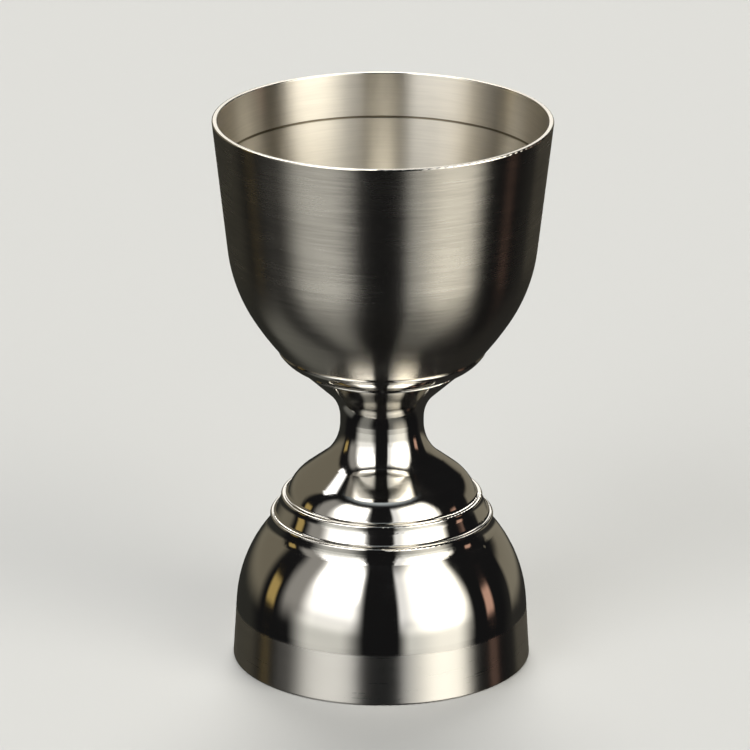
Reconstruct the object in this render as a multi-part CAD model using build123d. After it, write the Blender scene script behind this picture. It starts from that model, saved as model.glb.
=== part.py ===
from build123d import *

import os
from math import acos, asin, cos, degrees, radians, sin, tan

# A double bar jigger, in millimetres. It stands on its small mouth at z = 0, and the big cup
# opens upwards at z = height. Every piece is turned or drawn round the Z axis.

# ---- Driving dimensions ----
height = 87.2

# Big cup: a tapered straight wall, three tangent arcs that close it, and a flat floor.
rim_r = 26.2
cup_wall = 0.85
cup_straight = 20.6
cup_taper = 6.5
cup_arcs = ((25.2, 25.5), (46.0, 9.4), (4.9, 48.6))  # outer radius, turn in degrees
rim_rounding = 0.2
cup_line_depth = 7.0  # the 45 ml line, below the rim

# Outer bell of the small end: a tapered mouth band, then one arc up to the ridge.
mouth_r = 23.25
skirt_wall = 0.7
skirt_band = 8.95
skirt_arc_r = 21.05
skirt_ridge_r = 17.4
skirt_cove = 2.4  # the bell's blend into its ridge
skirt_top = 23.5
skirt_bore_r = 15.9
mouth_taper = 3.5
mouth_rounding = 0.3

# Inner cup of the small end: it lines the mouth band and leaves an air gap above.
liner_wall = 0.65
liner_band = 8.75
liner_arcs = ((19.4, 54.0), (5.0, 32.5))
liner_line_heights = (4.8, 9.95)  # the 22 ml and 15 ml lines, from the mouth

# Shoulder ring between the bell and the stem: the plain band between the two ridges.
shoulder_top = 26.55
shoulder_ridge_r = 15.7
shoulder_bore_r = 13.7
shoulder_spigot = 0.8
spigot_clearance = 0.15
shoulder_wall = 0.85
band_top = 25.75
band_foot_r = 16.65
band_blend = 2.0

# Stem: a solid waist with a domed skirt below and a flared head above.
waist_r = 6.5
waist_low = 34.55  # where the dome's cone would meet the waist
waist_high = 41.7  # where the head's cone would meet the waist
dome_corner = (14.0, 28.8)
dome_foot_r = 14.75
head_ridge_r = 12.5
head_cone = 47.5  # degrees from the axis
head_top = 47.45
stem_blends = (6.45, 7.55, 5.9)  # at the dome's corner, the waist's foot and the waist's top
boss_r = 9.4
boss_height = 0.75
stud_r = 7.8
dome_wall = 1.2
hollow_depth = 3.0  # from the waist's foot down to the roof of the dome's hollow
hollow_rounding = 1.0

# Collar ring under the big cup.
collar_foot_r = 12.1
collar_edge_r = 16.05
collar_top = 50.35
collar_bulge = 0.45
collar_rounding = 0.1

# Shared details.
foot_lip = 0.15  # height of the thin edge where one piece sits on the next
foot_cove = 0.5  # radius of the cove above that edge
foot_reach = 0.4  # how far that edge stands out
ridge_rounding = 0.3
head_rounding = 0.2
hidden_rounding = 0.15
braze_thickness = 0.2
braze_margin = 0.3
line_cut = 0.12
line_tool_r = 0.25


# ---- Helpers. Outlines are half sections, drawn as (radius, height). ----
def turned(*corners):
    """A turned piece from its closed outline of (radius, height, corner rounding)."""
    points = [(r, z) for r, z, _ in corners]
    rounding = [size for _, _, size in corners]
    outline = FilletPolyline(*points, radius=rounding, close=True)
    return revolve(Plane.XZ * make_face(outline), Axis.Z)


def drawn_wall(mouth, way, straight, taper, arcs, inset=0.0):
    """The edges of a drawn wall, from its mouth inwards: a straight, then tangent arcs.

    way is -1 for a wall that runs down from its mouth and +1 for one that runs up. inset
    moves the line in from the outer skin, parallel to it.
    """
    lean = radians(taper)
    heading = (-sin(lean), way * cos(lean))
    start = Vector(mouth[0] - inset / cos(lean), mouth[1])
    length = (straight - inset * sin(lean)) / cos(lean)
    edges = [Line(start, start + Vector(*heading) * length)]
    for radius, turn in arcs:
        last = edges[-1]
        edges.append(JernArc(last @ 1, last % 1, radius - inset, way * turn))
    return edges


def wall_radius(z, mouth, straight, taper, first_arc_r, inset):
    """The radius of a drawn wall's inner skin at a height within its straight or first arc."""
    lean = radians(taper)
    run = abs(z - mouth[1])
    knee = straight - inset * sin(lean)
    if run <= knee:
        return mouth[0] - inset / cos(lean) - run * tan(lean)
    arc_r = first_arc_r - inset
    tilt = asin(sin(lean) + (run - knee) / arc_r)
    knee_r = mouth[0] - inset / cos(lean) - knee * tan(lean)
    return knee_r - arc_r * (cos(lean) - cos(tilt))


def closed_cup(mouth, way, straight, taper, arcs, wall):
    """A drawn cup with a flat end: the shell, and the solid that its outer skin encloses."""
    skin = drawn_wall(mouth, way, straight, taper, arcs)
    inside = drawn_wall(mouth, way, straight, taper, arcs, wall)
    flat, floor = skin[-1] @ 1, inside[-1] @ 1
    flat_axis, floor_axis = Vector(0, flat.Y), Vector(0, floor.Y)
    mouth_axis = Vector(0, mouth[1])
    end = [Line(flat, flat_axis), Line(flat_axis, floor_axis), Line(floor_axis, floor)]
    mouth_land = Line(inside[0] @ 0, skin[0] @ 0)
    shell = make_face([*skin, *end, *inside, mouth_land])
    core = [Line(flat, flat_axis), Line(flat_axis, mouth_axis), Line(mouth_axis, skin[0] @ 0)]
    envelope = make_face([*skin, *core])
    return revolve(Plane.XZ * shell, Axis.Z), revolve(Plane.XZ * envelope, Axis.Z), flat.Y


def circle_edge(solid, radius, z):
    """The level circular edge of a turned piece that lies at that radius and height."""
    level = [
        e
        for e in solid.edges().filter_by(GeomType.CIRCLE)
        if e.bounding_box().size.Z < 1e-6
    ]
    return min(level, key=lambda e: abs(e.radius - radius) + abs(e.arc_center.Z - z))


def cut_line(solid, skin_r, z):
    """Cuts a measuring line into the inner skin: a shallow round-bottomed groove."""
    return solid - Pos(0, 0, z) * Torus(skin_r + line_cut - line_tool_r, line_tool_r)


def disc(radius, low, high):
    """A flat disc on the axis."""
    return turned((0, low, 0), (radius, low, 0), (radius, high, 0), (0, high, 0))


# ---- Pieces ----
def upper_cup():
    """The big cup with its rounded rim and its measuring line."""
    mouth = (rim_r, height)
    shell, envelope, floor_z = closed_cup(
        mouth, -1, cup_straight, cup_taper, cup_arcs, cup_wall
    )
    inner_r = rim_r - cup_wall / cos(radians(cup_taper))
    edges = [circle_edge(shell, r, height) for r in (rim_r, inner_r)]
    shell = fillet(edges, rim_rounding)
    line_z = height - cup_line_depth
    line_r = wall_radius(line_z, mouth, cup_straight, cup_taper, cup_arcs[0][0], cup_wall)
    return cut_line(shell, line_r, line_z), envelope, floor_z


def collar_ring(cup_envelope, floor_z):
    """The beaded ring that the big cup sits in. The cup's own skin shapes its seat."""
    foot = Vector(collar_foot_r, head_top)
    lip = Vector(collar_edge_r, collar_top - 2 * collar_rounding)
    chord = lip - foot
    outward = Vector(chord.Y, -chord.X).normalized()
    bead = ThreePointArc(foot, (foot + lip) / 2 + outward * collar_bulge, lip)
    blank = make_face(
        [
            bead,
            *Polyline(
                lip,
                (collar_edge_r, collar_top),
                (boss_r, collar_top),
                (boss_r, head_top),
                foot,
            ).edges(),
        ]
    )
    ring = revolve(Plane.XZ * blank, Axis.Z) - cup_envelope
    return fillet(circle_edge(ring, collar_edge_r, collar_top), collar_rounding)


def stem(braze_z):
    """The turned stem: its head carries the cup, its domed skirt sits on the shoulder ring."""
    head_edge_z = waist_high + (head_ridge_r - waist_r) / tan(radians(head_cone))
    foot_z = shoulder_top + foot_lip
    foot_r = dome_foot_r + foot_reach
    hollow_r = shoulder_bore_r - shoulder_wall
    spigot_z = shoulder_top - shoulder_spigot
    corner_blend, foot_blend, top_blend = stem_blends
    return turned(
        (0, braze_z, 0),
        (stud_r, braze_z, ridge_rounding),
        (stud_r, waist_low - hollow_depth, hollow_rounding),
        (hollow_r, dome_corner[1] - dome_wall, hollow_rounding),
        (hollow_r, spigot_z, 0),
        (shoulder_bore_r, spigot_z, 0),
        (shoulder_bore_r, shoulder_top, 0),
        (foot_r, shoulder_top, 0),
        (foot_r, foot_z, 0),
        (dome_foot_r, foot_z, foot_cove),
        (*dome_corner, corner_blend),
        (waist_r, waist_low, foot_blend),
        (waist_r, waist_high, top_blend),
        (head_ridge_r, head_edge_z, head_rounding),
        (head_ridge_r, head_top, hidden_rounding),
        (boss_r, head_top, 0),
        (boss_r, head_top + boss_height, 0),
        (0, head_top + boss_height, 0),
    )


def shoulder_ring():
    """The ring between the two ridges, with a spigot that fits the bell's bore."""
    foot_z = skirt_top + foot_lip
    foot_r = band_foot_r + foot_reach
    spigot_z = skirt_top - shoulder_spigot
    inner_r = skirt_bore_r - shoulder_wall
    return turned(
        (shoulder_bore_r, shoulder_top, 0),
        (shoulder_ridge_r, shoulder_top, ridge_rounding),
        (shoulder_ridge_r, band_top, band_blend),
        (band_foot_r, foot_z, foot_cove),
        (foot_r, foot_z, 0),
        (foot_r, skirt_top, 0),
        (skirt_bore_r, skirt_top, 0),
        (skirt_bore_r, spigot_z, hidden_rounding),
        (inner_r, spigot_z, hidden_rounding),
        (shoulder_bore_r, shoulder_top - spigot_clearance - shoulder_spigot, 0),
    )


def bell_skirt():
    """The outer bell, open at both ends, with the lower ridge as its top edge."""
    mouth = (mouth_r, 0)
    knee_r = mouth_r - skirt_band * tan(radians(mouth_taper))
    cos_taper = cos(radians(mouth_taper))

    def turn_to(radius, inset):
        knee = knee_r - inset * cos_taper
        tilt = acos(cos_taper - (knee - radius) / (skirt_arc_r - inset))
        return degrees(tilt) - mouth_taper

    skin_arc = ((skirt_arc_r, turn_to(skirt_ridge_r, 0)),)
    bore_arc = ((skirt_arc_r, turn_to(skirt_bore_r, skirt_wall)),)
    skin = drawn_wall(mouth, 1, skirt_band, mouth_taper, skin_arc)
    inside = drawn_wall(mouth, 1, skirt_band, mouth_taper, bore_arc, skirt_wall)
    top = Polyline(
        skin[-1] @ 1,
        (skirt_ridge_r, skirt_top),
        (skirt_bore_r, skirt_top),
        inside[-1] @ 1,
    )
    mouth_land = Line(inside[0] @ 0, skin[0] @ 0)
    bell = revolve(Plane.XZ * make_face([*skin, *top.edges(), *inside, mouth_land]), Axis.Z)
    ridge_foot_z = (skin[-1] @ 1).Y
    bell = fillet(circle_edge(bell, skirt_ridge_r, ridge_foot_z), skirt_cove)
    bell = fillet(circle_edge(bell, skirt_ridge_r, skirt_top), ridge_rounding)
    return fillet(circle_edge(bell, mouth_r, 0), mouth_rounding)


def lower_cup():
    """The small cup that lines the bell, mouth down, with its two measuring lines."""
    lean = radians(mouth_taper)
    mouth = (mouth_r - skirt_wall / cos(lean), 0)
    shell, _, crown_z = closed_cup(
        mouth, 1, liner_band, mouth_taper, liner_arcs, liner_wall
    )
    inner_r = mouth[0] - liner_wall / cos(lean)
    shell = fillet(circle_edge(shell, inner_r, 0), mouth_rounding)
    for z in liner_line_heights:
        line_r = wall_radius(z, mouth, liner_band, mouth_taper, liner_arcs[0][0], liner_wall)
        shell = cut_line(shell, line_r, z)
    return shell, crown_z


# ---- Assembly ----
cup, cup_envelope, cup_floor_z = upper_cup()
liner, crown_z = lower_cup()
pieces = {
    "upper_cup": cup,
    "collar_ring": collar_ring(cup_envelope, cup_floor_z),
    "stem": stem(crown_z + braze_thickness),
    "shoulder_ring": shoulder_ring(),
    "bell_skirt": bell_skirt(),
    "lower_cup": liner,
    "upper_braze": disc(boss_r - braze_margin, head_top + boss_height, cup_floor_z),
    "lower_braze": disc(stud_r - braze_margin, crown_z, crown_z + braze_thickness),
}

os.makedirs("parts", exist_ok=True)
for name, piece in pieces.items():
    piece.label = name
    export_step(piece, f"parts/{name}.step")
    print(name, round(piece.volume, 1), "mm3", "valid" if piece.is_valid else "INVALID")
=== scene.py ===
from math import degrees, radians, tan

import bpy
from mathutils import Matrix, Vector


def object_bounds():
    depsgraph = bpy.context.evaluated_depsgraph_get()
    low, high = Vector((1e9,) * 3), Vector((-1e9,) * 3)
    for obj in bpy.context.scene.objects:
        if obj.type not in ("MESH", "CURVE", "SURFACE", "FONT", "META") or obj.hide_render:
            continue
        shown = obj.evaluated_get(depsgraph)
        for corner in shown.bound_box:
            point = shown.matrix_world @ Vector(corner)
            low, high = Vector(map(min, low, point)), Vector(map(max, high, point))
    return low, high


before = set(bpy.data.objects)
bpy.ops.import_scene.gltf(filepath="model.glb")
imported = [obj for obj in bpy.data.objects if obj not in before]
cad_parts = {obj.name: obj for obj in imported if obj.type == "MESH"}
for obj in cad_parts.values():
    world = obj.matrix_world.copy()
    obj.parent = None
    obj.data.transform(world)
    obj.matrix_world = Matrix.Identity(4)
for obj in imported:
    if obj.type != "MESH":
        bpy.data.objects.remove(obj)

cad_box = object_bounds()
height = cad_box[1][2] - cad_box[0][2]
MM = 0.001

# ---- Driving values ----
big_line_depth = 7.0 * MM  # the measuring lines: below the rim, and above the small mouth
small_line_heights = (4.8 * MM, 9.95 * MM)
line_widths = (0.12 * MM, 0.24 * MM)  # half widths, of the painted shade's full part and of all of it
lip_depth = 0.28 * MM  # the polished rounding at the big cup's rim
bowl_foot = (55 * MM, 67 * MM)  # the big cup is buffed brighter towards its foot
skirt_band = 8.1 * MM  # the satin band round the small mouth
band_edge = 0.3 * MM
band_wander = 0.12 * MM
satin_colour = (0.70, 0.665, 0.60)
polished_colour = (0.76, 0.735, 0.69)
# Painted shade: the dark colour of the measuring lines stands in for the shadow in their grooves.
line_shade_colour = (0.22, 0.19, 0.14)
braze_colour = (0.72, 0.55, 0.30)
satin_rough = (0.24, 0.28)
band_rough = (0.27, 0.32)
mirror_rough = (0.055, 0.085)
haze_rough = 0.05
lip_rough = 0.12
line_rough = 0.45
braze_rough = (0.35, 0.55)
satin_bump = 0.001 * MM
mirror_bump = 0.0003 * MM
braze_bump = 0.01 * MM
floor_colour = (0.58, 0.585, 0.59)
floor_size = 12
backdrop_colour = (0.62, 0.62, 0.615)

# The camera: how far in front and how high it stands, and where it points.
lens = 297.5
reach = 10.4 * height
rise_angle = radians(21.75)
heading_angle = radians(0.0695)
pitch_angle = radians(90 - 19.209)
roll_angle = radians(0.162)


# ---- Node helpers ----
class Tree:
    """A node tree on a material or a world, with short ways to make and join nodes."""

    def __init__(self, owner):
        owner.use_nodes = True
        self.owner = owner
        self.nodes = owner.node_tree.nodes
        self.nodes.clear()

    def node(self, kind, **values):
        """A node with its properties and its inputs set, each by name."""
        made = self.nodes.new(kind)
        for key, value in values.items():
            if key in made.inputs:
                made.inputs[key].default_value = value
            else:
                setattr(made, key, value)
        return made

    def join(self, source, target):
        self.owner.node_tree.links.new(source, target)

    def feed(self, made, *values):
        """Sets or joins the inputs of a node, in order."""
        for socket, value in zip(made.inputs, values):
            if isinstance(value, (int, float, tuple)):
                socket.default_value = value
            else:
                self.join(value, socket)
        return made.outputs[0]

    def math(self, operation, *values):
        return self.feed(self.node("ShaderNodeMath", operation=operation), *values)

    def split(self, vector):
        made = self.node("ShaderNodeSeparateXYZ")
        self.join(vector, made.inputs["Vector"])
        return made.outputs["X"], made.outputs["Y"], made.outputs["Z"]

    def ramp(self, value, low, high, out_low=0.0, out_high=1.0):
        """A smooth step as value goes from low to high."""
        made = self.node("ShaderNodeMapRange", interpolation_type="SMOOTHSTEP")
        return self.feed(made, value, low, high, out_low, out_high)

    def blend(self, factor, first, second):
        """A mix of two numbers."""
        fade = self.math("MULTIPLY", factor, self.math("SUBTRACT", second, first))
        return self.math("ADD", fade, first)


class Steel(Tree):
    """The start that the metals share: a shader, and coordinates round the axis."""

    def __init__(self, name, colour, anisotropy):
        self.material = bpy.data.materials.new(name)
        super().__init__(self.material)
        self.shader = self.node("ShaderNodeBsdfPrincipled", Metallic=1.0)
        self.shader.inputs["Base Color"].default_value = (*colour, 1)
        self.shader.inputs["Anisotropic"].default_value = anisotropy
        self.shader.inputs["Anisotropic Rotation"].default_value = 0.25
        output = self.node("ShaderNodeOutputMaterial")
        self.join(self.shader.outputs["BSDF"], output.inputs["Surface"])
        tangent = self.node("ShaderNodeTangent", direction_type="RADIAL", axis="Z")
        self.join(tangent.outputs["Tangent"], self.shader.inputs["Tangent"])
        place = self.node("ShaderNodeTexCoord")
        self.position = place.outputs["Object"]
        self.x, self.y, self.z = self.split(self.position)
        x_squared = self.math("MULTIPLY", self.x, self.x)
        y_squared = self.math("MULTIPLY", self.y, self.y)
        self.r = self.math("SQRT", self.math("ADD", x_squared, y_squared))

    def rings(self, around, across, detail=2.0):
        """Noise drawn out into turning marks: slow round the axis, fast along the section."""
        ring = self.node("ShaderNodeCombineXYZ")
        for value, socket in ((self.x, "X"), (self.y, "Y")):
            turn = self.math("DIVIDE", value, self.r)
            self.join(self.math("MULTIPLY", turn, around), ring.inputs[socket])
        self.join(self.math("MULTIPLY", self.z, across), ring.inputs["Z"])
        made = self.node("ShaderNodeTexNoise", noise_dimensions="4D", Scale=1.0, Detail=detail)
        made.inputs["Roughness"].default_value = 0.6
        self.join(ring.outputs["Vector"], made.inputs["Vector"])
        self.join(self.math("MULTIPLY", self.r, across), made.inputs["W"])
        return made.outputs["Fac"]

    def clouds(self, scale, detail=2.0):
        """Plain soft noise, for handling marks."""
        made = self.node("ShaderNodeTexNoise", Scale=scale, Detail=detail, Roughness=0.5)
        self.join(self.position, made.inputs["Vector"])
        return made.outputs["Fac"]

    def inside(self):
        """One on walls that face the axis, and nothing on walls that face away from it."""
        surface = self.node("ShaderNodeNewGeometry")
        x, y, _ = self.split(surface.outputs["Normal"])
        out = self.math("ADD", self.math("MULTIPLY", x, self.x), self.math("MULTIPLY", y, self.y))
        return self.ramp(out, -0.1 * MM, 0.1 * MM, 1.0, 0.0)

    def lines(self, heights, inside):
        """The measuring lines: a mask for their rougher finish and for the shade of their grooves,
        painted dark.
        """
        total = 0.0
        for line_z in heights:
            away = self.math("ABSOLUTE", self.math("SUBTRACT", self.z, line_z))
            total = self.math("ADD", total, self.ramp(away, *line_widths, 1.0, 0.0))
        return self.math("MULTIPLY", total, inside)

    def mix(self, factor, first, second):
        """A mix of two colours."""
        made = self.node("ShaderNodeMix", data_type="RGBA")
        self.join(factor, made.inputs["Factor"])
        for colour, socket in ((first, made.inputs[6]), (second, made.inputs[7])):
            if isinstance(colour, tuple):
                socket.default_value = (*colour, 1)
            else:
                self.join(colour, socket)
        return made.outputs[2]

    def tint(self, colour):
        """Joins a colour to the shader's base colour."""
        self.join(colour, self.shader.inputs["Base Color"])

    def bump(self, heights, distance):
        """Raises the surface's normals by heights, over a distance in metres."""
        made = self.node("ShaderNodeBump", Distance=distance)
        self.join(heights, made.inputs["Height"])
        self.join(made.outputs["Normal"], self.shader.inputs["Normal"])


# ---- Materials ----
def shade(colour, amount):
    return tuple(channel * amount for channel in colour)


def brushing(steel):
    """Two scales of turning marks: fine hairlines, and broader faint bands."""
    fine = steel.rings(3.0, 3200.0, 3.0)
    broad = steel.rings(1.6, 620.0, 2.0)
    return steel.math("ADD", steel.math("MULTIPLY", fine, 0.65), steel.math("MULTIPLY", broad, 0.35))


def mirror_finish(steel, marks, haze):
    """The roughness of a polished face, a little higher where it is hazy."""
    fine = steel.ramp(marks, 0.35, 0.7, *mirror_rough)
    return steel.math("ADD", fine, steel.ramp(haze, 0.5, 0.75, 0.0, haze_rough))


def satin_steel(name, lip_z):
    """Brushed round the axis, which smears reflections along the wall, with a polished lip."""
    steel = Steel(name, satin_colour, 1.0)
    marks = brushing(steel)
    wear = steel.ramp(steel.clouds(90.0), 0.3, 0.7, -0.015, 0.015)
    rough = steel.math("ADD", steel.ramp(marks, 0.3, 0.7, *satin_rough), wear)
    rough = steel.math("MULTIPLY", rough, steel.ramp(steel.z, *bowl_foot, 0.56, 1.0))
    inside = steel.inside()
    rough = steel.math("MULTIPLY", rough, steel.blend(inside, 1.0, 1.3))
    lines = steel.lines((lip_z - big_line_depth, *small_line_heights), inside)
    rough = steel.blend(lines, rough, line_rough)
    lip = steel.ramp(steel.z, lip_z - lip_depth, lip_z - 0.4 * lip_depth)
    steel.join(steel.blend(lip, rough, lip_rough), steel.shader.inputs["Roughness"])
    grain = steel.ramp(marks, 0.32, 0.68)
    metal = steel.mix(grain, shade(satin_colour, 0.94), shade(satin_colour, 1.04))
    # Painted shade: the measuring lines are coloured dark where their grooves would be in shadow.
    steel.tint(steel.mix(lines, metal, line_shade_colour))
    below_lip = steel.math("SUBTRACT", 1.0, lip)
    steel.bump(steel.math("MULTIPLY", marks, below_lip), satin_bump)
    return steel.material


def polished_steel(name):
    """Mirror polish with faint turning marks and the odd handling mark."""
    steel = Steel(name, polished_colour, 0.8)
    marks = steel.rings(2.0, 1500.0, 2.0)
    haze = steel.clouds(160.0, 3.0)
    steel.join(mirror_finish(steel, marks, haze), steel.shader.inputs["Roughness"])
    steel.tint(steel.mix(haze, shade(polished_colour, 0.97), shade(polished_colour, 1.03)))
    steel.bump(marks, mirror_bump)
    return steel.material


def skirt_steel(name):
    """The bell: a satin band round its mouth that stops at a soft edge, and polish above."""
    steel = Steel(name, polished_colour, 1.0)
    marks = brushing(steel)
    haze = steel.clouds(160.0, 3.0)
    wander = steel.ramp(steel.rings(1.2, 60.0), 0.3, 0.7, -band_wander, band_wander)
    edge_z = steel.math("ADD", steel.z, wander)
    above = steel.ramp(edge_z, skirt_band - band_edge, skirt_band + band_edge)
    satin = steel.ramp(marks, 0.3, 0.7, *band_rough)
    rough = steel.blend(above, satin, mirror_finish(steel, marks, haze))
    steel.join(rough, steel.shader.inputs["Roughness"])
    steel.tint(steel.mix(above, shade(polished_colour, 0.97), polished_colour))
    depth = steel.blend(above, 1.0, 0.08)
    steel.bump(steel.math("MULTIPLY", marks, depth), satin_bump)
    return steel.material


def braze_metal(name):
    """The filler between the cups and the stem: dull, pale brass with a fine grain."""
    steel = Steel(name, braze_colour, 0.0)
    grain = steel.clouds(2500.0, 3.0)
    steel.join(steel.ramp(grain, 0.3, 0.7, *braze_rough), steel.shader.inputs["Roughness"])
    steel.tint(steel.mix(grain, shade(braze_colour, 0.85), shade(braze_colour, 1.1)))
    steel.bump(grain, braze_bump)
    return steel.material


satin = satin_steel("satin_steel", cad_box[1][2])
polished = polished_steel("polished_steel")
skirt = skirt_steel("skirt_steel")
braze = braze_metal("braze")
finishes = {
    "upper_cup": satin,
    "collar_ring": polished,
    "stem": polished,
    "shoulder_ring": polished,
    "bell_skirt": skirt,
    "lower_cup": satin,
    "upper_braze": braze,
    "lower_braze": braze,
}
for name, material in finishes.items():
    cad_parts[name].material_slots[0].material = material


# ---- Studio ----
class Studio(Tree):
    """The light all round, from soft patches. Azimuth 0 is in front and + is to the right."""

    def __init__(self):
        super().__init__(bpy.data.worlds.new("studio"))
        bpy.context.scene.world = self.owner
        place = self.node("ShaderNodeTexCoord")
        x, y, z = self.split(place.outputs["Generated"])
        turn = self.math("ARCTAN2", x, self.math("MULTIPLY", y, -1.0))
        self.azimuth = self.math("MULTIPLY", turn, degrees(1))
        self.elevation = self.math("MULTIPLY", self.math("ARCSINE", z), degrees(1))
        self.total = None

    def add(self, amount, colour):
        """Adds an amount of coloured light."""
        made = self.node("ShaderNodeVectorMath", operation="SCALE")
        made.inputs[0].default_value = colour
        self.join(amount, made.inputs["Scale"])
        light = made.outputs["Vector"]
        if self.total:
            light = self.feed(self.node("ShaderNodeVectorMath", operation="ADD"), self.total, light)
        self.total = light

    def window(self, value, rise_from, rise_to, fall_from, fall_to):
        """A smooth rise to one, and a smooth fall back to nothing."""
        rise = self.ramp(value, rise_from, rise_to)
        fall = self.ramp(value, fall_from, fall_to, 1.0, 0.0)
        return self.math("MULTIPLY", rise, fall)

    def patch(self, azimuths, elevations, colour):
        """A soft-edged patch of light. Each edge has where it starts and where it ends."""
        across = self.window(self.azimuth, *azimuths)
        up = self.window(self.elevation, *elevations)
        self.add(self.math("MULTIPLY", across, up), colour)

    def finish(self, backdrop):
        """Lights the scene, and shows a plain backdrop beyond the floor."""
        seen = self.node("ShaderNodeLightPath")
        mix = self.node("ShaderNodeMix", data_type="RGBA")
        self.join(seen.outputs["Is Camera Ray"], mix.inputs["Factor"])
        self.join(self.total, mix.inputs[6])
        mix.inputs[7].default_value = (*backdrop, 1)
        light = self.node("ShaderNodeBackground")
        self.join(mix.outputs[2], light.inputs["Color"])
        self.join(light.outputs["Background"], self.node("ShaderNodeOutputWorld").inputs["Surface"])


def plain(name, colour, roughness):
    """A plain stage material."""
    tree = Tree(bpy.data.materials.new(name))
    shader = tree.node("ShaderNodeBsdfPrincipled", Roughness=roughness)
    shader.inputs["Base Color"].default_value = (*colour, 1)
    tree.join(shader.outputs["BSDF"], tree.node("ShaderNodeOutputMaterial").inputs["Surface"])
    return tree.owner


def pale_floor(size, colour):
    """The floor. The steel reflects the studio's dark floor instead, as in a black-card shot."""
    half = size / 2
    corners = [(-half, -half, 0), (half, -half, 0), (half, half, 0), (-half, half, 0)]
    mesh = bpy.data.meshes.new("floor")
    mesh.from_pydata(corners, [], [(0, 1, 2, 3)])
    mesh.materials.append(plain("floor", colour, 0.6))
    floor = bpy.data.objects.new("floor", mesh)
    bpy.context.scene.collection.objects.link(floor)
    floor.visible_glossy = False


pale_floor(floor_size, floor_colour)
studio = Studio()
# The dim room all round, a little dimmer below.
studio.add(studio.ramp(studio.elevation, -90, 10, 0.7, 1.0), (0.009, 0.009, 0.0095))
# The left box: a dim outer edge, a main panel, and a bright upper part.
studio.patch((-93, -82, -64, -52), (-8, 12, 46, 58), (0.30, 0.29, 0.27))
studio.patch((-73, -54, -26, -13), (-6, 16, 46, 58), (1.70, 1.69, 1.65))
studio.patch((-68, -54, -24, -16), (20, 34, 46, 58), (3.00, 2.97, 2.85))
# The right box: a dim inner part, and a warm bright outer part.
studio.patch((12, 17, 62, 80), (-6, 14, 46, 58), (1.00, 1.00, 0.99))
studio.patch((18, 46, 62, 80), (-6, 14, 46, 58), (3.20, 3.05, 2.65))
# Both boxes again in the dark floor, fainter towards the object, and a faint card at the back left.
studio.patch((-80, -56, -34, -13), (-28, -12, 0, 8), (0.70, 0.70, 0.66))
studio.patch((-78, -58, -44, -22), (-84, -62, -22, -8), (0.20, 0.20, 0.185))
studio.patch((12, 24, 60, 80), (-28, -12, 0, 8), (0.72, 0.72, 0.68))
studio.patch((16, 26, 60, 80), (-84, -62, -22, -8), (0.12, 0.12, 0.11))
studio.patch((22, 50, 60, 80), (-56, -16, 0, 8), (0.46, 0.43, 0.36))
studio.patch((-152, -138, -108, -94), (-84, -72, -44, -32), (0.12, 0.12, 0.11))
# The dim overhead panel, and a small lamp at the back left.
studio.patch((-190, -189, 189, 190), (60, 72, 100, 101), (0.50, 0.55, 0.58))
studio.patch((-122, -118, -110, -105), (43, 47, 54, 58), (2.60, 2.60, 2.60))
# Behind the object, across the cut at 180 degrees: a high panel and a low strip, each in two halves.
studio.patch((150, 168, 189, 190), (28, 40, 60, 72), (7.20, 7.05, 6.60))
studio.patch((-190, -189, -168, -150), (28, 40, 60, 72), (7.20, 7.05, 6.60))
studio.patch((166, 174, 189, 190), (10, 15, 23, 28), (1.30, 1.27, 1.20))
studio.patch((-190, -189, -174, -166), (10, 15, 23, 28), (1.30, 1.27, 1.20))
# Warm cards and glints beside the boxes, and the low part of the room behind.
studio.patch((-172, -162, -118, -108), (-12, 2, 44, 60), (0.165, 0.147, 0.107))
studio.patch((122, 128, 168, 176), (-16, -8, 6, 14), (0.20, 0.18, 0.135))
studio.patch((-107, -103, -97, -93), (-4, 2, 12, 18), (0.42, 0.30, 0.10))
studio.patch((90, 93, 98, 102), (-8, -2, 8, 14), (0.58, 0.34, 0.25))
studio.patch((-190, -189, -130, -110), (-70, -50, -5, 10), (0.018, 0.018, 0.014))
studio.patch((110, 130, 189, 190), (-70, -50, -5, 10), (0.018, 0.017, 0.014))
studio.finish(backdrop_colour)

# ---- Camera ----
camera_data = bpy.data.cameras.new("camera")
camera_data.lens = lens
camera_data.sensor_width = 36
camera = bpy.data.objects.new("camera", camera_data)
bpy.context.scene.collection.objects.link(camera)
camera.location = (0, -reach, reach * tan(rise_angle))
heading = Matrix.Rotation(heading_angle, 3, "Z")
pitch = Matrix.Rotation(pitch_angle, 3, "X")
roll = Matrix.Rotation(roll_angle, 3, "Z")
camera.rotation_euler = (heading @ pitch @ roll).to_euler()
bpy.context.scene.camera = camera
bpy.context.scene.view_settings.view_transform = "Standard"
